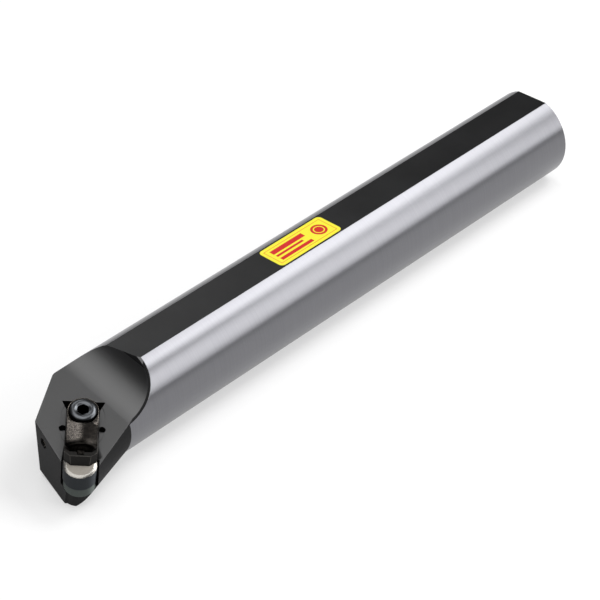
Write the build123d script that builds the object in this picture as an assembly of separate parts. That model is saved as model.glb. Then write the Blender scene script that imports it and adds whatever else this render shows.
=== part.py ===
from build123d import *
import math
import os

# A boring bar for round inserts. It lies along X, with its head towards -X and its marked
# flat up. The origin is the centre of the rear end face, on the shank's axis.
# Everything is in millimetres and degrees.

# Shank
LENGTH = 300.0                 # rear end face to the insert's foremost point
SHANK_R = 20.0
FLAT_DEPTH = 1.5               # each flat below the round, so 37 across the flats
REAR_CHAMFER = 0.4

# Head: the shank's cylinder carried on at an angle, then cut by the faces below
HEAD_LENGTH = 30.2             # insert's foremost point back to the bend
HEAD_TURN = 15.0               # in plan, towards the cutting side
HEAD_DROP = 4.3                # in side view, towards the floor
CUT_REACH = 7.0                # insert's outermost point beyond the shank's side
SEAT_HEIGHT = 0.9              # insert's rim plane above the shank's axis, at its centre
RAKE_FRONT = 6.0               # tilt of the top face, down towards the front
RAKE_SIDE = 14.0               # tilt of the top face, down towards the cutting side
RUNOUT_R = 25.0                # concave end of the top face
RUNOUT_BACK = 32.0             # insert's foremost point back to the start of the concave end
RIM_CHAMFER = 0.6              # along the concave end's near rim
WALL_TURN = 15.0               # front face's turn from square to the bar
CORNER_Y = 4.5                 # height of the front face's far corner above the axis, in plan
CORNER_TURN = 30.0             # far corner face's turn from the bar
NOSE_R = 5.7                   # nose under the shim
RELIEF_FRONT = 6.0             # rise of the underside's relief towards the front
RELIEF_FAR = 8.1               # rise of the underside's relief towards the far side

# Insert, shim and their pocket
INSERT_R = 6.35
INSERT_THICK = 7.94
EDGE_LAND = 1.3                # width of the chamfer round the insert's top, in plan
EDGE_ANGLE = 19.0
SHIM_R = 6.05
SHIM_THICK = 4.76
SEAT_GAP = 0.05                # clearance round the insert at the pocket's rear wall
SIDE_GAP = 0.65                # open gap beside the insert
REAR_WALL = 2.5                # start of the rear wall, behind the insert's centre
OVERHANG = 0.65                # insert's edge beyond the front face
SHIM_SCREW_R = 2.0
SHIM_SCREW_HEAD_R = 3.7
SHIM_SCREW_SOCKET = 2.5
SHIM_SCREW_LENGTH = 8.0
SHIM_HOLE_SPARE = 0.7          # shim screw's hole beyond its tip

# Clamp: it lies on a line from the insert's centre, at this angle to the bar in plan
CLAMP_TURN = 43.7
SCREW_BACK = 22.2              # insert's centre to the clamp screw's axis
CLAMP_WIDTH = 12.0
CLAMP_NOSE_WIDTH = 7.8
CLAMP_TAPER = 2.3              # length of the nose's two corner faces
CLAMP_FRONT = 2.6              # insert's centre to the clamp's nose
CLAMP_TOP = 7.2                # top of the nose above the insert's rim plane
CLAMP_NOSE_SLOPE = 2.0         # how far the nose's face leans back over its height
CLAMP_SEAT = 1.6               # screw head's seat above the rim plane
CLAMP_SHOULDER = 4.5           # top of the arm where the head's recess cuts it
COLLAR_TOP = 3.8               # top of the collar round the screw's head
CLAMP_HEEL = 5.0               # depth of the clamp's body below the rim plane
CROWN_R = 16.0
NOSE_EDGE_R = 1.0
TAB_WIDTH = 2.7
TAB_LENGTH = 1.0
TAB_HEIGHT = 0.9
SLOT_GAP = 0.35                # clamp to slot wall, each side
FLOOR_GAP = 0.05               # clamp's heel to the slot's floor
HEEL_CLEAR = 0.9               # clamp's round end to the slot's end wall
SLOT_END_WIDTH = 16.2
SLOT_FLARE = 4.0               # length of the slot's flared end
FRONT_FLOOR = 1.0              # depth of the slot's shallow front part
NOTCH_R = 1.4
NOTCH_DEPTH = 3.0
NOTCH_BACK = 16.3              # insert's centre to the two side notches
NOTCH_OUT = 1.0                # notch centre beyond the slot's wall
LINE_WIDTH = 0.3               # fine scribed line round the clamp
LINE_DEPTH = 0.2
LINE_R = 8.15
LINE_LENGTH = 7.0              # between the centres of the line's round ends

# Wear plate between clamp and insert
PLATE_FRONT = 0.9              # plate's foot beyond the insert's centre
PLATE_TOP = 4.0                # plate's top above the rim plane
PLATE_WIDTH = 12.3
PLATE_FOOT_WIDTH = 7.0
PLATE_TAPER = 2.2              # length of the plate's two corner faces
PLATE_SLOPE = 1.8              # how far the plate's front leans back over its height
PLATE_SIDE_SLOPE = 1.15
PLATE_BACK = 9.2
REST_GAP = 0.02                # between faces of pieces that press on each other

# Clamp screw and spring
SCREW_R = 3.0
SCREW_HEAD_R = 5.3
SCREW_HEAD_FOOT_R = 4.4
SCREW_HEAD_HEIGHT = 3.1
SCREW_RIM_LOW = 1.8            # head's widest band above its seat
SCREW_RIM_HIGH = 2.3
SCREW_TOP_R = 3.15
SOCKET_R = 2.4                 # to the tips of the six lobes
SOCKET_LOBE_R = 0.95
SOCKET_DEPTH = 2.2
SOCKET_CHAMFER = 0.35
SCREW_LENGTH = 18.6
SCREW_HOLE_SPARE = 2.0         # clamp screw's hole beyond its tip
RUN_GAP = 0.05                 # radial clearance of a screw in its threaded hole
CLAMP_HOLE_GAP = 0.3
HEAD_RECESS_GAP = 0.2
RECESS_STRETCH = 0.7           # recess longer towards the nose
SPRING_WIRE = 0.9
SPRING_R = 4.0                 # wire's centre to the screw's axis
SPRING_TURNS = 4.5
SPRING_WELL = 10.0             # depth of the spring's well in the bar
SPRING_CUP = 1.5               # depth of the spring's upper seat, below the rim plane
SPRING_GAP = 0.4

# Plug screw in the front face
PLUG_R = 2.1
PLUG_DEPTH = 7.0
PLUG_LENGTH = 4.0
PLUG_RECESS = 0.9
PLUG_SOCKET = 2.0
PLUG_Y = -1.0
PLUG_Z = 0.4

# Label on the top flat
LABEL_LENGTH = 36.0
LABEL_WIDTH = 13.6
LABEL_THICK = 0.1
LABEL_CORNER_R = 2.0
LABEL_FROM_REAR = 134.0

SPARE = 1.0                    # how far a cutter passes the face that it cuts
ROOM = 6 * SHANK_R             # larger than the head, for cutting blocks
CUT_OFFSET = SHANK_R + CUT_REACH
FLAT_Z = SHANK_R - FLAT_DEPTH
FLAT_HALF = math.sqrt(SHANK_R**2 - FLAT_Z**2)
LAND_RISE = EDGE_LAND * math.tan(math.radians(EDGE_ANGLE))
INSERT_FOOT = LAND_RISE - INSERT_THICK
SHIM_FOOT = INSERT_FOOT - SHIM_THICK
SLOT_WIDTH = CLAMP_WIDTH + 2 * SLOT_GAP
SLOT_END = SCREW_BACK + CLAMP_WIDTH / 2 + HEEL_CLEAR
SLOT_FLOOR = -CLAMP_HEEL - FLOOR_GAP
SCREW_TIP = CLAMP_SEAT - SCREW_LENGTH
RECESS_R = SCREW_HEAD_R + HEAD_RECESS_GAP
BEND = Vector(HEAD_LENGTH - LENGTH, 0, 0)
TOWARDS_HEAD = Vector(-1, 0, 0)


def tan(angle):
    return math.tan(math.radians(angle))


def plan_direction(angle):
    """Level direction, turned from +X towards +Y."""
    return Vector(math.cos(math.radians(angle)), math.sin(math.radians(angle)), 0)


def beyond(point, outward):
    """Block that fills everything on the outward side of a plane."""
    side = 4 * LENGTH
    block = Box(side, side, side, align=(Align.CENTER, Align.CENTER, Align.MIN))
    return Plane(origin=point, z_dir=outward).location * block


def rod(radius, low, high, a=0.0, b=0.0):
    """Upright cylinder between two heights."""
    cylinder = Cylinder(radius, high - low, align=(Align.CENTER, Align.CENTER, Align.MIN))
    return Pos(a, b, low) * cylinder


def slab(corners, low, high):
    """Upright prism on a closed outline, between two heights."""
    outline = make_face(Polyline(*corners, close=True))
    return Pos(0, 0, low) * extrude(outline, high - low)


def mirrored(corners):
    """Outline symmetric about the first axis, from the points on its left side."""
    return [(a, b) for a, b in corners] + [(a, -b) for a, b in reversed(corners)]


def hexagon(across_flats, low, high):
    return Pos(0, 0, low) * extrude(RegularPolygon(across_flats / 2, 6, major_radius=False), high - low)


def six_lobe(low, high):
    """Round socket with six lobes."""
    lobe_at = SOCKET_R - SOCKET_LOBE_R
    socket = rod(lobe_at, low, high)
    for index in range(6):
        direction = plan_direction(60 * index)
        socket += rod(SOCKET_LOBE_R, low, high, lobe_at * direction.X, lobe_at * direction.Y)
    return socket


def seat_plane():
    """Rim plane of the insert: first axis along the clamp, third axis square to the plane."""
    upward = Vector(-tan(RAKE_FRONT), -tan(RAKE_SIDE), 1)
    level = plan_direction(CLAMP_TURN)
    along = Vector(level.X, level.Y, level.X * tan(RAKE_FRONT) + level.Y * tan(RAKE_SIDE))
    centre = (INSERT_R - LENGTH, INSERT_R - CUT_OFFSET, SEAT_HEIGHT)
    return Plane(origin=centre, x_dir=along, z_dir=upward)


def on_seat(piece):
    """Moves a piece drawn about the insert's centre to its place on the bar."""
    return seat_plane().location * piece


def front_outward():
    return Vector(-math.cos(math.radians(WALL_TURN)), math.sin(math.radians(WALL_TURN)), 0)


def front_point(y):
    """Point of the front face at a given Y, level with the shank's axis."""
    outward = front_outward()
    foot = Vector(INSERT_R - LENGTH, INSERT_R - CUT_OFFSET, 0) + outward * (INSERT_R - OVERHANG)
    along = Vector(outward.Y, -outward.X, 0)
    return foot + along * ((y - foot.Y) / along.Y)


def blank():
    """Shank with its two flats, mitred to the angled cylinder of the head."""
    level = plan_direction(180 + HEAD_TURN)
    drop = math.radians(HEAD_DROP)
    along = level * math.cos(drop) - Vector(0, 0, math.sin(drop))
    mitre = TOWARDS_HEAD + along
    shank = Plane(origin=(0, 0, 0), z_dir=TOWARDS_HEAD).location * rod(SHANK_R, 0, LENGTH)
    shank -= beyond(BEND, mitre)
    head = Plane(origin=BEND, z_dir=along).location * rod(SHANK_R, -SHANK_R, 2 * HEAD_LENGTH)
    head -= beyond(BEND, -mitre)
    joined = shank + head
    joined -= beyond((0, 0, FLAT_Z), (0, 0, 1))
    joined -= beyond((0, 0, -FLAT_Z), (0, 0, -1))
    rear_edges = joined.faces().sort_by(Axis.X)[-1].edges()
    return chamfer(rear_edges, REAR_CHAMFER)


def top_cutter():
    """Everything above the head's top face and its concave end."""
    side = math.radians(RAKE_SIDE)
    slope = math.atan(tan(RAKE_FRONT) * math.cos(side))
    start = Vector(RUNOUT_BACK - LENGTH, 0, 0)
    rim = seat_plane().origin
    start.Z = rim.Z + (start.X - rim.X) * tan(RAKE_FRONT) + (start.Y - rim.Y) * tan(RAKE_SIDE)
    section = Plane(origin=start, x_dir=(1, 0, 0), z_dir=(0, -math.cos(side), -math.sin(side)))
    centre = (-RUNOUT_R * math.sin(slope), RUNOUT_R * math.cos(slope))
    first = math.degrees(slope) - 90
    arc = CenterArc(centre, RUNOUT_R, first, -20 - first)
    end = arc @ 1
    front = (-ROOM, -ROOM * math.tan(slope))
    sides = Polyline(end, (end.X, ROOM), (-ROOM, ROOM), front, arc @ 0)
    return extrude(section * make_face([arc, sides]), ROOM, both=True)


def nose_cutter():
    """Everything in front of the rounded nose under the shim."""
    reach = ROOM / 2
    start = -0.7 * NOSE_R
    front = slab([(start, -reach), (start, reach), (-reach, reach), (-reach, -reach)], -reach, reach)
    return on_seat(front - rod(NOSE_R, -reach, reach))


def pocket_cutter():
    """Seat for shim and insert, open at the front, with a round rear wall."""
    half = INSERT_R + SIDE_GAP
    sides = mirrored([(-2 * INSERT_R, half), (REAR_WALL, half)])
    open_front = slab(sides, SHIM_FOOT, ROOM / 4)
    return on_seat(open_front + rod(INSERT_R + SEAT_GAP, SHIM_FOOT, ROOM / 4))


def slot_cutter():
    """Slot that guides the clamp, with its flared end and two side notches."""
    half = SLOT_WIDTH / 2
    flare = SLOT_END - SLOT_FLARE
    top = ROOM / 4
    outline = mirrored([(PLATE_BACK, half), (flare, half), (SLOT_END, SLOT_END_WIDTH / 2)])
    deep = slab(outline, SLOT_FLOOR, top)
    shallow = slab(mirrored([(0, half), (PLATE_BACK + SPARE, half)]), -FRONT_FLOOR, top)
    cutter = deep + shallow
    for side in (1, -1):
        cutter += rod(NOTCH_R, -NOTCH_DEPTH, top, NOTCH_BACK, side * (half + NOTCH_OUT))
    return on_seat(cutter)


def line_cutter():
    """Fine scribed line round the clamp's slot."""
    outer = SlotCenterToCenter(LINE_LENGTH, 2 * LINE_R + LINE_WIDTH)
    inner = SlotCenterToCenter(LINE_LENGTH, 2 * LINE_R - LINE_WIDTH)
    ring = extrude(outer - inner, SPARE + LINE_DEPTH)
    return on_seat(Pos(SCREW_BACK - LINE_LENGTH / 2, 0, -LINE_DEPTH) * ring)


def screw_hole_cutter():
    """Threaded hole of the clamp screw and the spring's well above it."""
    hole = rod(SCREW_R + RUN_GAP, SCREW_TIP - SCREW_HOLE_SPARE, SLOT_FLOOR + SPARE, SCREW_BACK)
    well = rod(SPRING_R + SPRING_WIRE / 2 + SPRING_GAP, -SPRING_WELL, SLOT_FLOOR + SPARE, SCREW_BACK)
    return on_seat(hole + well)


def shim_hole_cutter():
    foot = INSERT_FOOT - SHIM_SCREW_LENGTH - SHIM_HOLE_SPARE
    return on_seat(rod(SHIM_SCREW_R + RUN_GAP, foot, SHIM_FOOT + SPARE))


def plug_plane():
    """Front face at the plug screw, looking out of its hole."""
    point = front_point(PLUG_Y)
    return Plane(origin=(point.X, point.Y, PLUG_Z), z_dir=front_outward())


def near_rim(bar):
    """Edge where the concave end meets the shank's round side, on the cutting side."""
    near = bar.edges().filter_by(lambda edge: edge.center().Y < -FLAT_HALF)
    return near.filter_by(GeomType.BSPLINE).sort_by(Axis.Z)[-1]


def make_bar():
    bar = blank()
    bar -= top_cutter()
    bar = chamfer(near_rim(bar), RIM_CHAMFER)
    bar -= beyond(front_point(0), front_outward())
    corner_outward = plan_direction(CORNER_TURN + 90)
    bar -= beyond(front_point(CORNER_Y), corner_outward)
    bar -= beyond((BEND.X, FLAT_HALF, -FLAT_Z), (-tan(RELIEF_FRONT), tan(RELIEF_FAR), -1))
    bar -= nose_cutter()
    bar -= pocket_cutter()
    bar -= slot_cutter()
    bar -= line_cutter()
    bar -= screw_hole_cutter()
    bar -= shim_hole_cutter()
    bar -= plug_plane().location * rod(PLUG_R, -PLUG_DEPTH, SPARE)
    return bar


def make_insert():
    """Round solid insert with a chamfer round its top."""
    disc = rod(INSERT_R, INSERT_FOOT, 0)
    land = Cone(INSERT_R, INSERT_R - EDGE_LAND, LAND_RISE, align=(Align.CENTER, Align.CENTER, Align.MIN))
    return on_seat(disc + land)


def shim_screw_cone(extra):
    """Countersunk head of the shim screw, or its seat when extra is the clearance."""
    height = SHIM_SCREW_HEAD_R - SHIM_SCREW_R
    cone = Cone(SHIM_SCREW_R + extra, SHIM_SCREW_HEAD_R + extra, height,
                align=(Align.CENTER, Align.CENTER, Align.MAX))
    return Pos(0, 0, INSERT_FOOT) * cone


def make_shim():
    disc = rod(SHIM_R, SHIM_FOOT, INSERT_FOOT)
    disc -= rod(SHIM_SCREW_R + RUN_GAP, SHIM_FOOT - SPARE, INSERT_FOOT + SPARE)
    disc -= shim_screw_cone(RUN_GAP)
    return on_seat(disc)


def make_shim_screw():
    head_foot = INSERT_FOOT - (SHIM_SCREW_HEAD_R - SHIM_SCREW_R)
    screw = shim_screw_cone(0) + rod(SHIM_SCREW_R, INSERT_FOOT - SHIM_SCREW_LENGTH, head_foot)
    screw -= hexagon(SHIM_SCREW_SOCKET, INSERT_FOOT - SHIM_SCREW_SOCKET / 2, INSERT_FOOT + SPARE)
    return on_seat(screw)


def make_plate():
    """Wear plate that spreads the clamp's load on the insert."""
    half, foot_half = PLATE_WIDTH / 2, PLATE_FOOT_WIDTH / 2
    low = LAND_RISE + REST_GAP
    height = PLATE_TOP - low
    plate = slab(mirrored([(-PLATE_FRONT, half), (PLATE_BACK, half)]), low, PLATE_TOP)
    plate -= beyond((-PLATE_FRONT, 0, low), (-height, 0, PLATE_SLOPE))
    corner = math.atan2(half - foot_half, PLATE_TAPER)
    for side in (1, -1):
        outward = (-math.sin(corner) * height, side * math.cos(corner) * height, PLATE_SIDE_SLOPE)
        plate -= beyond((-PLATE_FRONT, side * foot_half, low), outward)
    return on_seat(plate)


def clamp_outline():
    """Clamp seen from above: tapered nose, straight sides and a round end."""
    half, nose_half = CLAMP_WIDTH / 2, CLAMP_NOSE_WIDTH / 2
    corners = [(SCREW_BACK, half), (CLAMP_FRONT + CLAMP_TAPER, half), (CLAMP_FRONT, nose_half)]
    sides = Polyline(*mirrored(corners))
    end = CenterArc((SCREW_BACK, 0), half, -90, 180)
    return make_face([sides, end])


def crown():
    """Cylinder whose top is the clamp's crowned back, falling towards the screw."""
    shoulder = SCREW_BACK - RECESS_R - RECESS_STRETCH
    nose = CLAMP_FRONT + CLAMP_NOSE_SLOPE
    fall = math.atan2(CLAMP_TOP - CLAMP_SHOULDER, shoulder - nose)
    centre = (nose - CROWN_R * math.sin(fall), 0, CLAMP_TOP - CROWN_R * math.cos(fall))
    axis = Plane(origin=centre, z_dir=(math.cos(fall), 0, -math.sin(fall)))
    return axis.location * rod(CROWN_R, -ROOM / 2, ROOM / 2)


def clamp_blank():
    """Clamp before its holes: a crowned arm and a body with a collar round the screw."""
    arm_foot = PLATE_TOP + REST_GAP
    arm = Pos(0, 0, arm_foot) * extrude(clamp_outline(), CLAMP_TOP)
    body = Pos(0, 0, -CLAMP_HEEL) * extrude(clamp_outline(), CLAMP_HEEL + arm_foot)
    body -= beyond((PLATE_BACK + REST_GAP, 0, 0), (-1, 0, 0))
    blank = (arm + body) & crown()
    face_height = CLAMP_TOP - PLATE_TOP
    blank -= beyond((CLAMP_FRONT, 0, PLATE_TOP), (-face_height, 0, CLAMP_NOSE_SLOPE))
    nose_edge = blank.edges().group_by(Axis.Z)[-1].sort_by(Axis.X)[0]
    blank = fillet(nose_edge, NOSE_EDGE_R)
    collar = Pos(0, 0, -CLAMP_HEEL) * extrude(clamp_outline(), CLAMP_HEEL + COLLAR_TOP)
    collar -= beyond((SCREW_BACK - RECESS_R, 0, 0), (-1, 0, 0))
    return blank + collar


def make_clamp():
    clamp = clamp_blank()
    for shift in (0, RECESS_STRETCH):
        clamp -= rod(RECESS_R, CLAMP_SEAT, ROOM / 4, SCREW_BACK - shift)
    clamp -= rod(SCREW_R + CLAMP_HOLE_GAP, -ROOM / 4, ROOM / 4, SCREW_BACK)
    clamp -= rod(SPRING_R + SPRING_WIRE / 2 + SPRING_GAP, -ROOM / 4, -SPRING_CUP, SCREW_BACK)
    tab = mirrored([(CLAMP_FRONT - TAB_LENGTH, TAB_WIDTH / 2), (CLAMP_FRONT + TAB_LENGTH, TAB_WIDTH / 2)])
    arm_foot = PLATE_TOP + REST_GAP
    clamp += slab(tab, arm_foot, arm_foot + TAB_HEIGHT)
    return on_seat(clamp)


def make_clamp_screw():
    """Low round head screw with a six-lobe socket."""
    low = CLAMP_SEAT + REST_GAP
    top = low + SCREW_HEAD_HEIGHT
    rim_low, rim_high = low + SCREW_RIM_LOW, low + SCREW_RIM_HIGH
    side = Polyline((SCREW_TOP_R, top), (0, top), (0, low), (SCREW_HEAD_FOOT_R, low),
                    (SCREW_HEAD_R, rim_low), (SCREW_HEAD_R, rim_high))
    middle = (SCREW_TOP_R + 0.65 * (SCREW_HEAD_R - SCREW_TOP_R), rim_high + 0.75 * (top - rim_high))
    dome = ThreePointArc((SCREW_HEAD_R, rim_high), middle, (SCREW_TOP_R, top))
    screw = revolve(Plane.XZ * make_face([side, dome]), Axis.Z)
    screw += rod(SCREW_R, SCREW_TIP, low)
    screw -= six_lobe(top - SOCKET_DEPTH, top + SPARE)
    mouth = Cone(SOCKET_R, SCREW_TOP_R, SOCKET_CHAMFER, align=(Align.CENTER, Align.CENTER, Align.MAX))
    screw -= Pos(0, 0, top) * mouth
    return on_seat(Pos(SCREW_BACK, 0, 0) * screw)


def make_clamp_spring():
    """Compression spring that lifts the clamp when its screw is loosened."""
    low = -SPRING_WELL + SPRING_WIRE / 2 + REST_GAP
    high = -SPRING_CUP - SPRING_WIRE / 2 - REST_GAP
    coil = Helix((high - low) / SPRING_TURNS, high - low, SPRING_R, center=(0, 0, low))
    wire = Plane(origin=coil @ 0, z_dir=coil % 0) * Circle(SPRING_WIRE / 2)
    return on_seat(Pos(SCREW_BACK, 0, 0) * sweep(wire, path=coil, is_frenet=True))


def make_plug_screw():
    """Headless screw that closes the hole in the front face."""
    screw = rod(PLUG_R - RUN_GAP, -PLUG_RECESS - PLUG_LENGTH, -PLUG_RECESS)
    screw -= hexagon(PLUG_SOCKET, -PLUG_RECESS - PLUG_LENGTH / 2, SPARE)
    return plug_plane().location * screw


def make_label():
    sticker = extrude(RectangleRounded(LABEL_LENGTH, LABEL_WIDTH, LABEL_CORNER_R), LABEL_THICK)
    return Pos(-LABEL_FROM_REAR - LABEL_LENGTH / 2, 0, FLAT_Z) * sticker


PIECES = {
    "bar": make_bar,
    "insert": make_insert,
    "shim": make_shim,
    "shim_screw": make_shim_screw,
    "wear_plate": make_plate,
    "clamp": make_clamp,
    "clamp_screw": make_clamp_screw,
    "clamp_spring": make_clamp_spring,
    "plug_screw": make_plug_screw,
    "label": make_label,
}

os.makedirs("parts", exist_ok=True)
for name, make in PIECES.items():
    export_step(make(), f"parts/{name}.step")
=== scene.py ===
import math

import bmesh
import bpy
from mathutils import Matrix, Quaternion, Vector


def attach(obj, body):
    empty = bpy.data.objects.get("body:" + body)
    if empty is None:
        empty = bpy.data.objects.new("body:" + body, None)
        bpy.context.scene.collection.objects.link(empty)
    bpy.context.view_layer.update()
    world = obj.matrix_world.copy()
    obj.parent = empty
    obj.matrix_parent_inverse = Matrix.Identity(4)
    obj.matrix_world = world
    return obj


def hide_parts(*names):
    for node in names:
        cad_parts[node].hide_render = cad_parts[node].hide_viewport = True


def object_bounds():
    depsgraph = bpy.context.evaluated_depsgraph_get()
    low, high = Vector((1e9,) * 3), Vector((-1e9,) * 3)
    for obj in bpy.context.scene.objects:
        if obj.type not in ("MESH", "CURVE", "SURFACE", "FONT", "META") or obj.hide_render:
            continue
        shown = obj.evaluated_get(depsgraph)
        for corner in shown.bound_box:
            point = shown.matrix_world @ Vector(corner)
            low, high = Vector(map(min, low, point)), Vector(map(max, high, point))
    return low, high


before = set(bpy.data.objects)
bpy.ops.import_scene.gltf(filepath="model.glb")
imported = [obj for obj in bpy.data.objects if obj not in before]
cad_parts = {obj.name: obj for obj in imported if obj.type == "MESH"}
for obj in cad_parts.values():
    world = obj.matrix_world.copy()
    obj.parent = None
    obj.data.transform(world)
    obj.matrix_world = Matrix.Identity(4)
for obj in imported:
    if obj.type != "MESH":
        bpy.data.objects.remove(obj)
cad_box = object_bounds()
MM = 0.001  # the frame is in metres, and the sizes below are in millimetres


# Bar: one piece of alloy steel, turned and milled, then blackened all over in a hot salt bath. The
# shank's round is ground bright afterwards. Its flats and the angled head keep the black oxide,
# which is matt and nearly black, and the edges are broken by hand.
SHANK_R = 20.0
BEND_X = -269.8
MITRE_TURN = 7.5
MITRE_DROP = 2.15
REAR_CHAMFER = 0.45
EDGE_BREAK = 0.07
CORNER = 20
GRIND_PITCH = 0.12
GRIND_STREAKS = 30
TURNING_FEED = 0.3
TURNING_DEPTH = 0.03
MILLING_PITCH = 0.4
MILLING_STREAKS = 40
MARK_DEPTH = 0.02
OXIDE_GRAIN = 0.25
BLOOM_SIZE = 18
SLOT_MIDDLE = (-282.5, -10.0, 3.5)
SLOT_REACH = 13.5
ROUND_WITHIN = 0.4
ROUND_LEAN = 0.05
LEVEL = 0.999
UPWARD = 0.6
RIM_LEAN = -0.35
GROUND_STEEL = "#7C7C7F"
GROUND_STEEL_DARK = "#6E6E72"
TURNED_STEEL = "#A0A0A3"
BLACK_OXIDE = "#0A0A0B"
OXIDE_BLOOM = "#1F1F20"


def linear(colour):
    """An sRGB hex colour as the linear values that a shader takes."""
    parts = [int(colour[i:i + 2], 16) / 255 for i in (1, 3, 5)]
    return [part / 12.92 if part <= 0.04045 else ((part + 0.055) / 1.055) ** 2.4 for part in parts] + [1.0]


def add(tree, kind, settings=None, **inputs):
    """Adds a node with its settings.

    An input is a value or another node's output. It goes by its socket's name or, as in _0, its number."""
    node = tree.nodes.new("ShaderNode" + kind)
    for name, value in (settings or {}).items():
        setattr(node, name, value)
    for name, value in inputs.items():
        socket = node.inputs[int(name[1:]) if name[1:].isdigit() else name.replace("_", " ")]
        if isinstance(value, bpy.types.NodeSocket):
            tree.links.new(value, socket)
        else:
            socket.default_value = value
    return node


def new_material(name):
    """An empty material, and the tree that its nodes go in."""
    material = bpy.data.materials.new(name)
    material.use_nodes = True
    material.node_tree.nodes.clear()
    return material, material.node_tree


def dress(node, material):
    """Gives a piece of the frame its material."""
    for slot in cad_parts[node].material_slots:
        slot.material = material


def broken_edges(node, body, width, materials, zone=lambda face: 0, stays_sharp=lambda place: False,
                 edge_finish=-1):
    """The frame's piece again, with the small rounding that a file or a tumbler leaves on its edges.

    zone gives the number of the material that a face takes, and edge_finish that of the rounded edges.
    stays_sharp says where an edge is left as it is."""
    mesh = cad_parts[node].data.copy()
    mesh.materials.clear()
    for material in materials:
        mesh.materials.append(material)
    form = bmesh.new()
    form.from_mesh(mesh)
    bmesh.ops.remove_doubles(form, verts=form.verts, dist=0.001 * MM)
    weights = form.edges.layers.float.new("bevel_weight_edge")
    for face in form.faces:
        face.material_index = zone(face)
        face.smooth = True
    for edge in form.edges:
        middle = (edge.verts[0].co + edge.verts[1].co) / 2
        is_corner = edge.calc_face_angle(0) > math.radians(CORNER)
        edge.smooth = not (is_corner and stays_sharp(middle))
        edge[weights] = float(is_corner and edge.smooth)
    form.to_mesh(mesh)
    form.free()
    piece = bpy.data.objects.new(node + "_finished", mesh)
    bpy.context.scene.collection.objects.link(piece)
    bevel = piece.modifiers.new("edges", "BEVEL")
    bevel.width = width * MM
    bevel.segments = 2
    bevel.material = edge_finish
    bevel.limit_method = "WEIGHT"
    bevel.use_clamp_overlap = False
    flatten = piece.modifiers.new("flatten", "WEIGHTED_NORMAL")
    flatten.weight = 100
    flatten.keep_sharp = True
    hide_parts(node)
    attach(piece, body)


def ground_steel():
    """Ground steel mirrors softly. Its marks run round the bar and draw each light out along it.

    They are drawn coarser than the real ones, so that they show."""
    material, tree = new_material("ground_steel")
    place = add(tree, "TexCoord").outputs["Object"]
    round_bar = add(tree, "Mapping", Vector=place,
                    Scale=(1 / (GRIND_PITCH * MM), GRIND_STREAKS, GRIND_STREAKS))
    marks = add(tree, "TexNoise", Vector=round_bar.outputs[0], Scale=1.0, Detail=2.0)
    colour = add(tree, "Mix", {"data_type": "RGBA"}, _0=marks.outputs[0], _6=linear(GROUND_STEEL_DARK),
                 _7=linear(GROUND_STEEL))
    bump = add(tree, "Bump", Height=marks.outputs[0], Strength=0.1, Distance=MARK_DEPTH * MM)
    shader = add(tree, "BsdfPrincipled", Base_Color=colour.outputs[2], Metallic=1.0, Roughness=0.31,
                 Anisotropic=0.4, Tangent=add(tree, "CombineXYZ", X=1.0).outputs[0], Normal=bump.outputs[0])
    add(tree, "OutputMaterial", Surface=shader.outputs[0])
    return material


def turned_steel():
    """The rear end is faced on the lathe, so fine rings run round its middle and catch the light."""
    material, tree = new_material("turned_steel")
    place = add(tree, "TexCoord").outputs["Object"]
    parts = add(tree, "SeparateXYZ", Vector=place)
    flat_place = add(tree, "CombineXYZ", Y=parts.outputs["Y"], Z=parts.outputs["Z"])
    radius = add(tree, "VectorMath", {"operation": "LENGTH"}, _0=flat_place.outputs[0]).outputs["Value"]
    rings = add(tree, "TexNoise", {"noise_dimensions": "1D"}, W=radius, Scale=1 / (TURNING_FEED * MM),
                Detail=2.0)
    colour = add(tree, "Mix", {"data_type": "RGBA"}, _0=rings.outputs[0], _6=linear(GROUND_STEEL_DARK),
                 _7=linear(TURNED_STEEL))
    bump = add(tree, "Bump", Height=rings.outputs[0], Strength=0.3, Distance=TURNING_DEPTH * MM)
    shader = add(tree, "BsdfPrincipled", Base_Color=colour.outputs[2], Metallic=1.0, Roughness=0.34,
                 Normal=bump.outputs[0])
    add(tree, "OutputMaterial", Surface=shader.outputs[0])
    return material


def black_oxide(name, low_rough, high_rough, ior):
    """Hot-blackened steel is nearly black. A grain a little coarser than the real one keeps it alive."""
    material, tree = new_material(name)
    place = add(tree, "TexCoord").outputs["Object"]
    across = add(tree, "Mapping", Vector=place,
                 Scale=(1 / (MILLING_PITCH * MM), MILLING_STREAKS, MILLING_STREAKS))
    milling = add(tree, "TexNoise", Vector=across.outputs[0], Scale=1.0, Detail=3.0)
    grain = add(tree, "TexNoise", Vector=place, Scale=1 / (OXIDE_GRAIN * MM), Detail=2.0)
    bloom = add(tree, "TexNoise", Vector=place, Scale=1 / (BLOOM_SIZE * MM), Detail=4.0)
    patches = add(tree, "MapRange", Value=bloom.outputs[0], From_Min=0.3, From_Max=0.75)
    speckled = add(tree, "Math", {"operation": "MULTIPLY"}, _0=patches.outputs[0], _1=milling.outputs[0])
    colour = add(tree, "Mix", {"data_type": "RGBA"}, _0=speckled.outputs[0], _6=linear(BLACK_OXIDE),
                 _7=linear(OXIDE_BLOOM))
    rough = add(tree, "MapRange", Value=grain.outputs[0], To_Min=low_rough, To_Max=high_rough)
    height = add(tree, "Math", {"operation": "ADD"}, _0=milling.outputs[0], _1=grain.outputs[0])
    bump = add(tree, "Bump", Height=height.outputs[0], Strength=0.12, Distance=MARK_DEPTH * MM)
    shader = add(tree, "BsdfPrincipled", Base_Color=colour.outputs[2], Roughness=rough.outputs[0], IOR=ior,
                 Normal=bump.outputs[0])
    add(tree, "OutputMaterial", Surface=shader.outputs[0])
    return material


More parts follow.
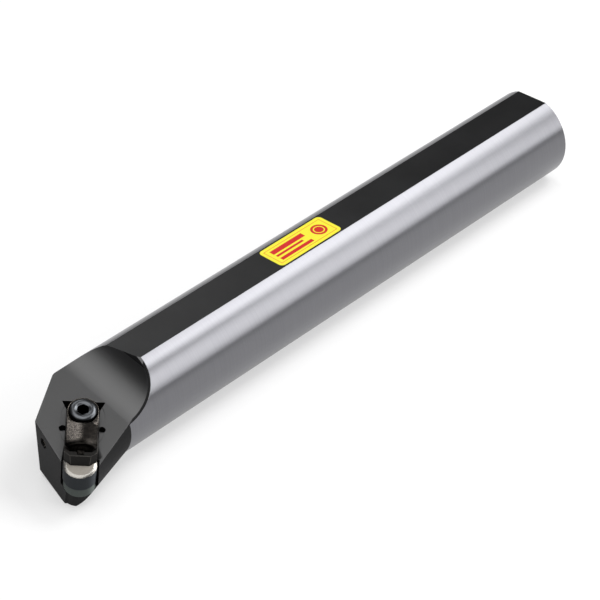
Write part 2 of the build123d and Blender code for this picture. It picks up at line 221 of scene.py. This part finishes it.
def bar_finish(face):
    """Number of a face's finish: ground round, turned end, milled head, milled flat or the plain rest."""
    middle = face.calc_center_median()
    mitre = Vector((-math.cos(math.radians(MITRE_TURN)), -math.sin(math.radians(MITRE_TURN)),
                    -math.sin(math.radians(MITRE_DROP))))
    on_shank = (middle - Vector((BEND_X * MM, 0, 0))).dot(mitre) < 0
    on_round = math.hypot(middle.y, middle.z) > (SHANK_R - ROUND_WITHIN) * MM
    if middle.x > -REAR_CHAMFER * MM:
        return 1
    if on_shank and on_round and abs(face.normal.x) < ROUND_LEAN:
        return 0
    if face.normal.z > LEVEL:
        return 3
    return 2 if face.normal.z > UPWARD and face.normal.y > RIM_LEAN else 4


def by_the_slot(place):
    """True by the clamp's slot, where the real edges are left sharp."""
    return (place - Vector(SLOT_MIDDLE) * MM).length < SLOT_REACH * MM


broken_edges("bar", "bar_body", EDGE_BREAK,
             [ground_steel(), turned_steel(), black_oxide("milled_black_oxide", 0.3, 0.42, 1.82),
              black_oxide("flat_black_oxide", 0.34, 0.46, 1.38),
              black_oxide("plain_black_oxide", 0.6, 0.75, 1.3)], bar_finish, by_the_slot)


# Insert: a round plate of sintered hard metal. Its top is left as sintered and is matt and warm grey.
# The narrow land round the cutting edge is ground and shines, and so does the dark side, where the
# grinding wheel's marks run round the piece and draw each light out into an upright band.
SEAT_CENTRE = (-293.65, -20.65, 0.9)
SEAT_UP = Vector((-math.tan(math.radians(6)), -math.tan(math.radians(14)), 1)).normalized()
INSERT_EDGE = 0.05
WHEEL_MARKS = 0.25
SINTER_GRAIN = 0.3
FLAT_FACING = 0.97
LAND_FACING = 0.6
INSERT_TOP = "#8F8980"
INSERT_LAND = "#8F8C87"
INSERT_SIDE = "#3F4245"


def seat_height(tree, place):
    """Height above the insert's rim plane, in metres."""
    offset = add(tree, "VectorMath", {"operation": "SUBTRACT"}, _0=place, _1=Vector(SEAT_CENTRE) * MM)
    height = add(tree, "VectorMath", {"operation": "DOT_PRODUCT"}, _0=offset.outputs[0], _1=SEAT_UP)
    return height.outputs["Value"]


def sintered_face(name, colour, metallic, roughness):
    """A hard metal face. Its sinter grain, drawn coarser than the real one, keeps the tone alive."""
    material, tree = new_material(name)
    place = add(tree, "TexCoord").outputs["Object"]
    grain = add(tree, "TexNoise", Vector=place, Scale=1 / (SINTER_GRAIN * MM), Detail=3.0)
    speck = add(tree, "MapRange", Value=grain.outputs[0], From_Min=0.3, From_Max=0.7, To_Min=0.86,
                To_Max=1.1)
    toned = add(tree, "Mix", {"data_type": "RGBA", "blend_type": "MULTIPLY"}, _0=1.0, _6=linear(colour),
                _7=speck.outputs[0])
    rough = add(tree, "MapRange", Value=grain.outputs[0], To_Min=roughness - 0.06, To_Max=roughness + 0.06)
    bump = add(tree, "Bump", Height=grain.outputs[0], Strength=0.1, Distance=MARK_DEPTH * MM)
    shader = add(tree, "BsdfPrincipled", Base_Color=toned.outputs[2], Roughness=rough.outputs[0],
                 Metallic=metallic, Normal=bump.outputs[0])
    add(tree, "OutputMaterial", Surface=shader.outputs[0])
    return material


def ground_side(name, colour):
    """A round side with the wheel's marks, drawn coarser than the real ones.

    They run level and spread each light up and down."""
    material, tree = new_material(name)
    place = add(tree, "TexCoord").outputs["Object"]
    height = seat_height(tree, place)
    pitch = add(tree, "Math", {"operation": "MULTIPLY"}, _0=height, _1=1 / (WHEEL_MARKS * MM))
    marks = add(tree, "TexNoise", {"noise_dimensions": "1D"}, W=pitch.outputs[0], Scale=1.0, Detail=3.0)
    tone = add(tree, "MapRange", Value=marks.outputs[0], From_Min=0.3, From_Max=0.7, To_Min=0.88, To_Max=1.1)
    toned = add(tree, "Mix", {"data_type": "RGBA", "blend_type": "MULTIPLY"}, _0=1.0, _6=linear(colour),
                _7=tone.outputs[0])
    bump = add(tree, "Bump", Height=marks.outputs[0], Strength=0.1, Distance=MARK_DEPTH * MM)
    upright = add(tree, "CombineXYZ", X=SEAT_UP.x, Y=SEAT_UP.y, Z=SEAT_UP.z)
    shader = add(tree, "BsdfPrincipled", Base_Color=toned.outputs[2], Roughness=0.6, Metallic=1.0,
                 Anisotropic=0.9, Tangent=upright.outputs[0], Normal=bump.outputs[0])
    add(tree, "OutputMaterial", Surface=shader.outputs[0])
    return material


def plate_finish(face):
    """Number of a face's finish on a piece that lies on the seat: its flat top, its land or its side."""
    facing = face.normal.dot(SEAT_UP)
    return 0 if abs(facing) > FLAT_FACING else 1 if facing > LAND_FACING else 2


broken_edges("insert", "bar_body", INSERT_EDGE,
             [sintered_face("sintered_insert_top", INSERT_TOP, 0.0, 0.5),
              sintered_face("ground_insert_land", INSERT_LAND, 1.0, 0.27),
              ground_side("ground_insert_side", INSERT_SIDE)], plate_finish)


# Shim: a thinner plate of hard metal under the insert, ground all over, so it is lighter than the
# insert's side.
SHIM_GROUND = "#636966"

broken_edges("shim", "bar_body", INSERT_EDGE,
             [sintered_face("ground_shim_face", SHIM_GROUND, 1.0, 0.4),
              sintered_face("shim_screw_seat", SHIM_GROUND, 1.0, 0.4),
              ground_side("ground_shim_side", SHIM_GROUND)], plate_finish)


# Small screws: the shim's screw is blackened. The one that closes the hole in the front face is bare
# steel with a bright turned end.
SCREW_BLACK = "#1E1F20"
BARE_STEEL = "#D8D0C4"
TURNING = 0.5


def screw_steel(name, colour, metallic, roughness):
    """Turned steel. Its marks, drawn coarser than the real ones, break up the shine."""
    material, tree = new_material(name)
    place = add(tree, "TexCoord").outputs["Object"]
    turning = add(tree, "TexNoise", Vector=place, Scale=1 / (TURNING * MM), Detail=2.0)
    rough = add(tree, "MapRange", Value=turning.outputs[0], To_Min=roughness - 0.08, To_Max=roughness + 0.08)
    bump = add(tree, "Bump", Height=turning.outputs[0], Strength=0.1, Distance=MARK_DEPTH * MM)
    shader = add(tree, "BsdfPrincipled", Base_Color=linear(colour), Metallic=metallic,
                 Roughness=rough.outputs[0], Normal=bump.outputs[0])
    add(tree, "OutputMaterial", Surface=shader.outputs[0])
    return material


dress("shim_screw", screw_steel("blackened_shim_screw", SCREW_BLACK, 0.0, 0.4))
dress("plug_screw", screw_steel("bare_plug_screw", BARE_STEEL, 1.0, 0.25))


# Wear plate: a bevelled plate of hard metal between clamp and insert. Its faces are dark and nearly
# matt, and its rounded edges are lighter, partly from wear by chips and partly as a painted highlight.
PLATE_EDGE = 0.1
PLATE_FACE = "#272625"
# painted highlight: the rounded edges take this lighter colour, partly for wear by chips
PLATE_WORN_HIGHLIT = "#484643"

broken_edges("wear_plate", "clamp_body", PLATE_EDGE,
             [sintered_face("dark_plate_face", PLATE_FACE, 1.0, 0.4),
              sintered_face("worn_and_highlit_plate_edge", PLATE_WORN_HIGHLIT, 1.0, 0.3)], edge_finish=1)


# Clamp: cast steel, tumbled and blackened with its casting skin left on, so its edges are round and its
# fine pebbled grain glitters. Its nose is painted near black as shade. It is the frame's clamp,
# remeshed and softened, with a slight camber over its back and down to its nose.
CLAMP_TURN = math.radians(43.7)
CLAMP_ALONG = Vector((math.cos(CLAMP_TURN), math.sin(CLAMP_TURN), 0))
CLAMP_ALONG.z = -CLAMP_ALONG.dot(SEAT_UP) / SEAT_UP.z
CLAMP_ALONG.normalize()
CAST_VOXEL = 0.16
CAST_SOFTENING = 24
CAMBER_FROM = 3.2
CAMBER_TO = 7.2
CAMBER_ACROSS = 0.032
CAMBER_NOSE = 0.03
NOSE_FROM = 8.5
CAST_SKIN = "#34312E"
CAST_HIGH = "#7A746E"
CAST_GRAIN = 0.35
CAST_DEPTH = 0.03
# span along the clamp over which the painted shade on its nose fades out
NOSE_SHADE = (5.6, 7.4)


def cast_skin():
    """A blackened casting skin. Its pebbles stand out lighter and glitter, with dark pits between them. Its
    nose is painted near black as shade.
    """
    material, tree = new_material("cast_steel_skin")
    place = add(tree, "TexCoord").outputs["Object"]
    coarse = add(tree, "TexNoise", Vector=place, Scale=1 / (CAST_GRAIN * MM), Detail=2.0)
    fine = add(tree, "TexVoronoi", Vector=place, Scale=1 / (CAST_GRAIN * MM))
    tone = add(tree, "MapRange", Value=fine.outputs["Distance"], From_Min=0.1, From_Max=0.65, To_Min=1.0,
               To_Max=0.0)
    offset = add(tree, "VectorMath", {"operation": "SUBTRACT"}, _0=place, _1=Vector(SEAT_CENTRE) * MM)
    back = add(tree, "VectorMath", {"operation": "DOT_PRODUCT"}, _0=offset.outputs[0], _1=CLAMP_ALONG)
    # painted shade: the colour falls to near black towards the clamp's nose
    nose_shade = add(tree, "MapRange", Value=back.outputs["Value"], From_Min=NOSE_SHADE[0] * MM,
                 From_Max=NOSE_SHADE[1] * MM, To_Min=0.08, To_Max=1.0)
    grained = add(tree, "Mix", {"data_type": "RGBA"}, _0=tone.outputs[0], _6=linear(CAST_SKIN),
                  _7=linear(CAST_HIGH))
    colour = add(tree, "Mix", {"data_type": "RGBA", "blend_type": "MULTIPLY"}, _0=1.0, _6=grained.outputs[2],
                 _7=nose_shade.outputs[0])
    grain = add(tree, "Math", {"operation": "SUBTRACT"}, _0=coarse.outputs[0], _1=fine.outputs["Distance"])
    bump = add(tree, "Bump", Height=grain.outputs[0], Strength=0.5, Distance=CAST_DEPTH * MM)
    shader = add(tree, "BsdfPrincipled", Base_Color=colour.outputs[2], Metallic=1.0, Roughness=0.24,
                 Normal=bump.outputs[0])
    add(tree, "OutputMaterial", Surface=shader.outputs[0])
    return material


def cast_clamp():
    """The frame's clamp with the rounder form of a casting: softened edges and a camber on its back."""
    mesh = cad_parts["clamp"].data.copy()
    blank = bpy.data.objects.new("clamp_blank", mesh)
    bpy.context.scene.collection.objects.link(blank)
    remesh = blank.modifiers.new("remesh", "REMESH")
    remesh.mode = "VOXEL"
    remesh.voxel_size = CAST_VOXEL * MM
    remesh.use_smooth_shade = True
    soften = blank.modifiers.new("soften", "SMOOTH")
    soften.factor = 0.5
    soften.iterations = CAST_SOFTENING
    cast = bpy.data.meshes.new_from_object(blank.evaluated_get(bpy.context.evaluated_depsgraph_get()))
    bpy.data.objects.remove(blank)
    across = SEAT_UP.cross(CLAMP_ALONG)
    for vertex in cast.vertices:
        place = (vertex.co - Vector(SEAT_CENTRE) * MM) / MM
        raised = (place.dot(SEAT_UP) - CAMBER_FROM) / (CAMBER_TO - CAMBER_FROM)
        before_nose = max(0.0, NOSE_FROM - place.dot(CLAMP_ALONG))
        drop = CAMBER_ACROSS * place.dot(across) ** 2 + CAMBER_NOSE * before_nose ** 2
        vertex.co -= SEAT_UP * drop * min(1.0, max(0.0, raised)) * MM
    cast.materials.clear()
    cast.materials.append(cast_skin())
    clamp = bpy.data.objects.new("cast_clamp", cast)
    bpy.context.scene.collection.objects.link(clamp)
    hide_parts("clamp")
    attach(clamp, "clamp_body")


cast_clamp()


# Clamp screw: hardened steel with a low round head, turned, blackened and polished by handling, so
# it shines blue grey. The six-lobe socket keeps its oxide, and is painted near black as shade so that it
# looks empty.
SCREW_BACK = 22.2
SCREW_TOP = 4.72
SOCKET_MOUTH = 2.3
# depths below the screw's top over which the socket's painted shade deepens
SOCKET_SHADE = (0.7, 0.35)
HEAD_MARKS = 0.2
SCREW_EDGE = 0.08
HEAD_STEEL = "#535558"


def blackened_head():
    """Polished black steel shines blue grey, with turning marks round its axis. Its socket keeps its oxide
    and is painted near black as shade.
    """
    material, tree = new_material("blackened_clamp_screw")
    place = add(tree, "TexCoord").outputs["Object"]
    height = seat_height(tree, place)
    # painted shade: inside the socket's mouth and further down, the colour falls to near black over the
    # oxide
    depth_shade = add(tree, "MapRange", Value=height, From_Min=(SCREW_TOP - SOCKET_SHADE[0]) * MM,
               From_Max=(SCREW_TOP - SOCKET_SHADE[1]) * MM, To_Min=0.01, To_Max=1.0)
    axis = (Vector(SEAT_CENTRE) + CLAMP_ALONG * SCREW_BACK) * MM
    offset = add(tree, "VectorMath", {"operation": "SUBTRACT"}, _0=place, _1=axis)
    across = add(tree, "VectorMath", {"operation": "CROSS_PRODUCT"}, _0=offset.outputs[0], _1=SEAT_UP)
    radius = add(tree, "VectorMath", {"operation": "LENGTH"}, _0=across.outputs[0]).outputs["Value"]
    outside = add(tree, "Math", {"operation": "GREATER_THAN"}, _0=radius, _1=SOCKET_MOUTH * MM)
    socket_shade_mask = add(tree, "Math", {"operation": "MULTIPLY"}, _0=depth_shade.outputs[0], _1=outside.outputs[0])
    marks = add(tree, "TexNoise", {"noise_dimensions": "1D"}, W=radius, Scale=1 / (HEAD_MARKS * MM),
                Detail=2.0)
    colour = add(tree, "Mix", {"data_type": "RGBA", "blend_type": "MULTIPLY"}, _0=1.0, _6=linear(HEAD_STEEL),
                 _7=socket_shade_mask.outputs[0])
    bump = add(tree, "Bump", Height=marks.outputs[0], Strength=0.1, Distance=MARK_DEPTH * MM)
    shader = add(tree, "BsdfPrincipled", Base_Color=colour.outputs[2], Metallic=1.0, Roughness=0.28,
                 Normal=bump.outputs[0])
    add(tree, "OutputMaterial", Surface=shader.outputs[0])
    return material


broken_edges("clamp_screw", "clamp_screw_body", SCREW_EDGE, [blackened_head()])


# Clamp spring: a coil of drawn spring wire round the clamp screw, out of sight in its well. It lifts
# the clamp when the screw is let out.
SPRING_STEEL = "#6A6A6C"

dress("clamp_spring", screw_steel("drawn_spring_wire", SPRING_STEEL, 1.0, 0.35))


# Label: printed film stuck on the top flat. It has a plain yellow ground, a fine frame line and a
# generic pattern of a disc and bars in red.
LABEL_MIDDLE_X = -152.0
LABEL_HALF = (18.0, 6.8)
FRAME_INSET = 1.7
FRAME_LINE = 0.28
DISC_AT = (11.0, 0.0)
DISC_R = 3.6
DISC_RING = (2.0, 2.5)
BARS = [((-5.2, 2.5), (9.2, 1.3)), ((-6.7, -0.4), (7.7, 0.6)), ((-5.2, -3.1), (9.2, 0.9))]
FILM_YELLOW = "#EBE330"
PRINT_RED = "#C60A08"
FRAME_ORANGE = "#E07A1E"
FILM_RIPPLE = 300.0
FILM_DEPTH = 0.05


def box_distance(tree, place, centre, half):
    """Distance outside a box on the film, below zero inside it."""
    offset = add(tree, "VectorMath", {"operation": "SUBTRACT"}, _0=place, _1=(centre[0], centre[1], 0))
    size = add(tree, "VectorMath", {"operation": "ABSOLUTE"}, _0=offset.outputs[0])
    past = add(tree, "VectorMath", {"operation": "SUBTRACT"}, _0=size.outputs[0], _1=(half[0], half[1], 0))
    parts = add(tree, "SeparateXYZ", Vector=past.outputs[0])
    furthest = add(tree, "Math", {"operation": "MAXIMUM"}, _0=parts.outputs["X"], _1=parts.outputs["Y"])
    return furthest.outputs[0]


def printed_film():
    """Printed film has flat, strong colours under a low sheen, with a faint ripple where it is stuck on."""
    material, tree = new_material("printed_film")
    place = add(tree, "TexCoord").outputs["Object"]
    scaled = add(tree, "Mapping", Vector=place, Location=(-LABEL_MIDDLE_X, 0, 0), Scale=(1 / MM, 1 / MM, 0))
    film = scaled.outputs[0]
    to_frame = box_distance(tree, film, (0, 0), [half - FRAME_INSET for half in LABEL_HALF])
    line = add(tree, "Math", {"operation": "COMPARE"}, _0=to_frame, _1=0.0, _2=FRAME_LINE / 2).outputs[0]
    from_disc = add(tree, "VectorMath", {"operation": "DISTANCE"}, _0=film, _1=(DISC_AT[0], DISC_AT[1], 0))
    disc = add(tree, "Math", {"operation": "LESS_THAN"}, _0=from_disc.outputs["Value"], _1=DISC_R).outputs[0]
    ring = add(tree, "Math", {"operation": "COMPARE"}, _0=from_disc.outputs["Value"], _1=sum(DISC_RING) / 2,
               _2=(DISC_RING[1] - DISC_RING[0]) / 2).outputs[0]
    red = add(tree, "Math", {"operation": "SUBTRACT"}, _0=disc, _1=ring).outputs[0]
    for centre, half in BARS:
        past = box_distance(tree, film, centre, half)
        inside = add(tree, "Math", {"operation": "LESS_THAN"}, _0=past, _1=0.0)
        red = add(tree, "Math", {"operation": "MAXIMUM"}, _0=red, _1=inside.outputs[0]).outputs[0]
    framed = add(tree, "Mix", {"data_type": "RGBA"}, _0=line, _6=linear(FILM_YELLOW),
                 _7=linear(FRAME_ORANGE))
    colour = add(tree, "Mix", {"data_type": "RGBA"}, _0=red, _6=framed.outputs[2], _7=linear(PRINT_RED))
    ripple = add(tree, "TexNoise", Vector=place, Scale=FILM_RIPPLE, Detail=2.0)
    bump = add(tree, "Bump", Height=ripple.outputs[0], Strength=0.05, Distance=FILM_DEPTH * MM)
    shader = add(tree, "BsdfPrincipled", Base_Color=colour.outputs[2], Roughness=0.4, Normal=bump.outputs[0])
    add(tree, "OutputMaterial", Surface=shader.outputs[0])
    return material


dress("label", printed_film())


# Stage: a plain pale floor that the bar lies on, under four soft boxes: one overhead, one towards the
# bar's rear end, one at its cutting side and a weaker one at its far side. Each box is given by its
# name, azimuth, elevation, width and height in metres, and radiance.
FLOOR_SIZE = 12.0
FLOOR_COLOUR = "#FAFAFA"
BAR_MIDDLE = Vector((-0.15, 0, 0))
BOX_DISTANCE = 2.0
SOFT_BOXES = [("overhead_soft_box", -165, 80, 1.8, 1.8, 2.4), ("rear_soft_box", -18, 51, 0.95, 0.95, 6.8),
              ("side_soft_box", -54, 26, 1.4, 1.2, 4.0), ("left_soft_box", 66, 43, 1.1, 0.8, 2.3)]
ROOM_GREY = (0.07, 0.07, 0.072, 1)


def studio_floor():
    """Pale painted floor. It looks white to the camera and in mirrors, and still takes a soft shadow."""
    material, tree = new_material("studio_floor")
    path = add(tree, "LightPath")
    seen = path.outputs["Is Camera Ray"]
    for ray in ("Is Glossy Ray", "Is Transmission Ray"):
        seen = add(tree, "Math", {"operation": "MAXIMUM"}, _0=seen, _1=path.outputs[ray]).outputs[0]
    paint = add(tree, "BsdfDiffuse", Color=linear(FLOOR_COLOUR))
    glow = add(tree, "Emission", Color=(1, 1, 1, 1), Strength=seen)
    both = add(tree, "MixShader", _0=0.5, _1=paint.outputs[0], _2=glow.outputs[0])
    add(tree, "OutputMaterial", Surface=both.outputs[0])
    return material


bpy.ops.mesh.primitive_plane_add(size=FLOOR_SIZE, location=(BAR_MIDDLE.x, 0, cad_box[0][2]))
floor = bpy.context.object
floor.name = "floor"
floor.data.materials.append(studio_floor())


for name, azimuth, elevation, width, height, radiance in SOFT_BOXES:
    turn, rise = math.radians(azimuth), math.radians(elevation)
    outward = Vector((math.cos(turn) * math.cos(rise), math.sin(turn) * math.cos(rise), math.sin(rise)))
    light = bpy.data.lights.new(name, "AREA")
    light.shape = "RECTANGLE"
    light.size, light.size_y = width, height
    light.energy = radiance * math.pi * width * height
    lamp = bpy.data.objects.new(name, light)
    lamp.location = BAR_MIDDLE + outward * BOX_DISTANCE
    lamp.rotation_mode = "QUATERNION"
    lamp.rotation_quaternion = outward.to_track_quat("Z", "Y")
    bpy.context.scene.collection.objects.link(lamp)

world = bpy.data.worlds.new("studio")
bpy.context.scene.world = world
world.use_nodes = True
world.node_tree.nodes["Background"].inputs["Color"].default_value = ROOM_GREY


# Camera: the place, the aim, the slight roll and the long lens that a fit to the photograph's outline
# gives.
CAMERA_PLACE = (-695.1, -512.4, 535.3)
CAMERA_AIM = (-155.53, -2.60, -7.94)
CAMERA_ROLL = -0.78
LENS = 134.27

camera_data = bpy.data.cameras.new("camera")
camera_data.lens = LENS
camera_data.sensor_width = 36
camera_data.clip_end = 50
camera = bpy.data.objects.new("camera", camera_data)
camera.location = Vector(CAMERA_PLACE) * MM
aim = (Vector(CAMERA_AIM) - Vector(CAMERA_PLACE)).to_track_quat("-Z", "Y")
camera.rotation_mode = "QUATERNION"
camera.rotation_quaternion = aim @ Quaternion((0, 0, 1), math.radians(CAMERA_ROLL))
bpy.context.scene.collection.objects.link(camera)
bpy.context.scene.camera = camera
bpy.context.scene.view_settings.view_transform = "Standard"
